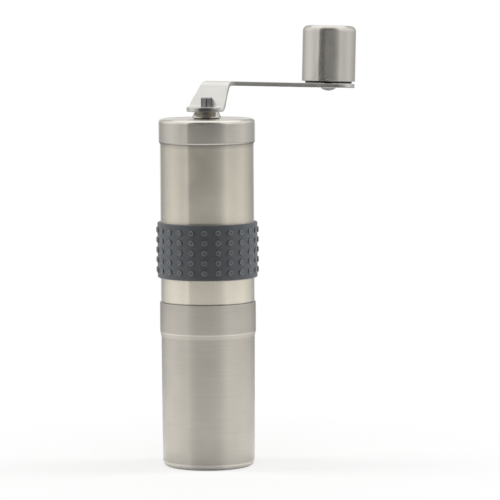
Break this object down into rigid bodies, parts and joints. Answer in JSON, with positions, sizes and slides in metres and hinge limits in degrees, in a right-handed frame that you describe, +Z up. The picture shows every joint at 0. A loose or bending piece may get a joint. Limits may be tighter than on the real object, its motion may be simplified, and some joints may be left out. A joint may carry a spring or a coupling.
{
  "type": "hand crank coffee grinder",
  "caption": "Slim steel hand coffee mill: a conical burr mill in a tube with a rubber grip, a grounds cup below, a lid, and a lift-off crank with a turning knob.",
  "frame": {"origin": "centre of the grounds cup's flat base, on the mill's axis", "axes": "+Z up along the mill's axis, +X along the crank arm at rest, +Y across it"},
  "size_m": [0.1665, 0.0526, 0.2234],
  "materials": {
    "brushed_steel": "warm stainless steel, brushed round the axis",
    "arm_steel": "fine satin stainless sheet with darker cut edges",
    "bright_steel": "turned and polished steel",
    "spring_steel": "drawn spring steel",
    "grip_rubber": "matt slate grey rubber",
    "black_plastic": "fine moulded black plastic",
    "ceramic": "fired off-white ceramic",
    "bronze": "sintered bronze"
  },
  "bodies": {
    "cup": {"grounds_cup": "brushed_steel"},
    "mill": {"body_tube": "brushed_steel", "grip_band": "grip_rubber", "burr_housing": "black_plastic", "shaft_bush": "bronze", "outer_burr": "ceramic", "burr_retainer": "black_plastic", "retainer_screws": "bright_steel"},
    "shaft": {"drive_shaft": "bright_steel", "thrust_washer": "bright_steel", "retaining_clip": "spring_steel", "upper_spring_washer": "bright_steel"},
    "burr": {"inner_burr": "ceramic", "burr_carrier": "black_plastic", "lower_spring_washer": "bright_steel", "burr_spring": "spring_steel"},
    "nut": {"adjusting_nut": "black_plastic"},
    "lid": {"lid": "brushed_steel", "lid_bush": "black_plastic"},
    "crank": {"crank_arm": "arm_steel", "hub_collar": "bright_steel", "knob_rivet": "bright_steel", "rivet_clip": "spring_steel"},
    "knob": {"knob_core": "black_plastic", "knob_shell": "brushed_steel"}
  },
  "joints": [
    {"name": "mill_lift", "type": "slide", "parent": "cup", "child": "mill", "axis": [0, 0, 1], "range_m": [0, 0.06]},
    {"name": "shaft_turn", "type": "hinge", "parent": "mill", "child": "shaft", "pos_m": [0, 0, 0.1122], "axis": [0, 0, 1], "continuous": true},
    {"name": "burr_slide", "type": "slide", "parent": "shaft", "child": "burr", "axis": [0, 0, -1], "range_m": [0, 0.0012], "deforming": ["burr_spring"]},
    {"name": "nut_turn", "type": "hinge", "parent": "burr", "child": "nut", "pos_m": [0, 0, 0.0735], "axis": [0, 0, -1], "range_deg": [0, 540]},
    {"name": "crank_lift", "type": "slide", "parent": "shaft", "child": "crank", "axis": [0, 0, 1], "range_m": [0, 0.08]},
    {"name": "lid_lift", "type": "slide", "parent": "mill", "child": "lid", "axis": [0, 0, 1], "range_m": [0, 0.04]},
    {"name": "knob_turn", "type": "hinge", "parent": "crank", "child": "knob", "pos_m": [0.12436, 0, 0.19164], "axis": [0.0497, 0, 0.9988], "continuous": true}
  ],
  "couplings": [
    {"joint": "burr_slide", "follows": "nut_turn", "m_per_rad": 0.00012732},
    {"joint": "lid_lift", "follows": "crank_lift", "ratio": 0.5}
  ]
}
